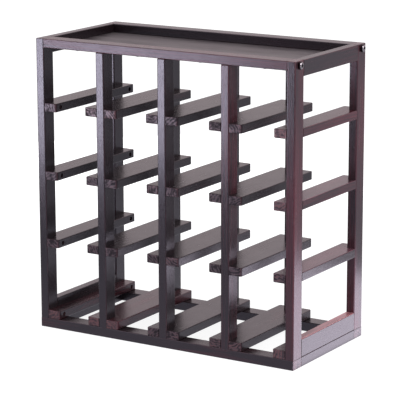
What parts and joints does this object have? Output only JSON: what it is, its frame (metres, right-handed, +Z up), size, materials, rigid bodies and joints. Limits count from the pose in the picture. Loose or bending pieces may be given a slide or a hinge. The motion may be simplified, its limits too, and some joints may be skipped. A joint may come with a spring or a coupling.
{
  "type": "wine rack",
  "caption": "Open slatted rack for lying bottles: posts and notched slats make a grid of cells on a base frame, under a shallow tray top.",
  "frame": {"origin": "on the floor, under the middle of the rack", "axes": "+X to the right across the front, +Y from the front to the back, +Z up"},
  "size_m": [0.52, 0.242, 0.513],
  "materials": {
    "post_wood": "espresso stain under satin lacquer",
    "slat_wood": "espresso stain under satin lacquer",
    "long_rail_wood": "espresso stain under satin lacquer",
    "side_rail_wood": "espresso stain under satin lacquer",
    "panel_wood": "stained panel under satin lacquer",
    "dowel_wood": "bare hardwood",
    "bolt_steel": "bright plated",
    "plated_steel": "zinc plated"
  },
  "bodies": {
    "root": {"front_left_post": "post_wood", "front_right_post": "post_wood", "back_left_post": "post_wood", "back_right_post": "post_wood", "front_divider_post_1": "post_wood", "front_divider_post_2": "post_wood", "front_divider_post_3": "post_wood", "back_divider_post_1": "post_wood", "back_divider_post_2": "post_wood", "back_divider_post_3": "post_wood", "divider_slat_row1_1": "slat_wood", "divider_slat_row1_2": "slat_wood", "divider_slat_row1_3": "slat_wood", "divider_slat_row2_1": "slat_wood", "divider_slat_row2_2": "slat_wood", "divider_slat_row2_3": "slat_wood", "divider_slat_row3_1": "slat_wood", "divider_slat_row3_2": "slat_wood", "divider_slat_row3_3": "slat_wood", "divider_slat_row4_1": "slat_wood", "divider_slat_row4_2": "slat_wood", "divider_slat_row4_3": "slat_wood", "left_end_slat_row2": "slat_wood", "left_end_slat_row3": "slat_wood", "left_end_slat_row4": "slat_wood", "right_end_slat_row2": "slat_wood", "right_end_slat_row3": "slat_wood", "right_end_slat_row4": "slat_wood", "left_half_slat": "slat_wood", "right_half_slat": "slat_wood", "front_top_rail": "long_rail_wood", "back_top_rail": "long_rail_wood", "front_base_rail": "long_rail_wood", "back_base_rail": "long_rail_wood", "left_top_rail": "side_rail_wood", "left_bottom_rail": "side_rail_wood", "left_base_rail": "side_rail_wood", "right_top_rail": "side_rail_wood", "right_bottom_rail": "side_rail_wood", "right_base_rail": "side_rail_wood", "tray_panel": "panel_wood", "end_frame_dowels": "dowel_wood", "base_dowels": "dowel_wood", "divider_dowels": "dowel_wood", "connector_bolts": "bolt_steel", "barrel_nuts": "plated_steel", "slat_screws": "plated_steel", "base_screws": "plated_steel", "panel_screws": "plated_steel"}
  },
  "joints": []
}
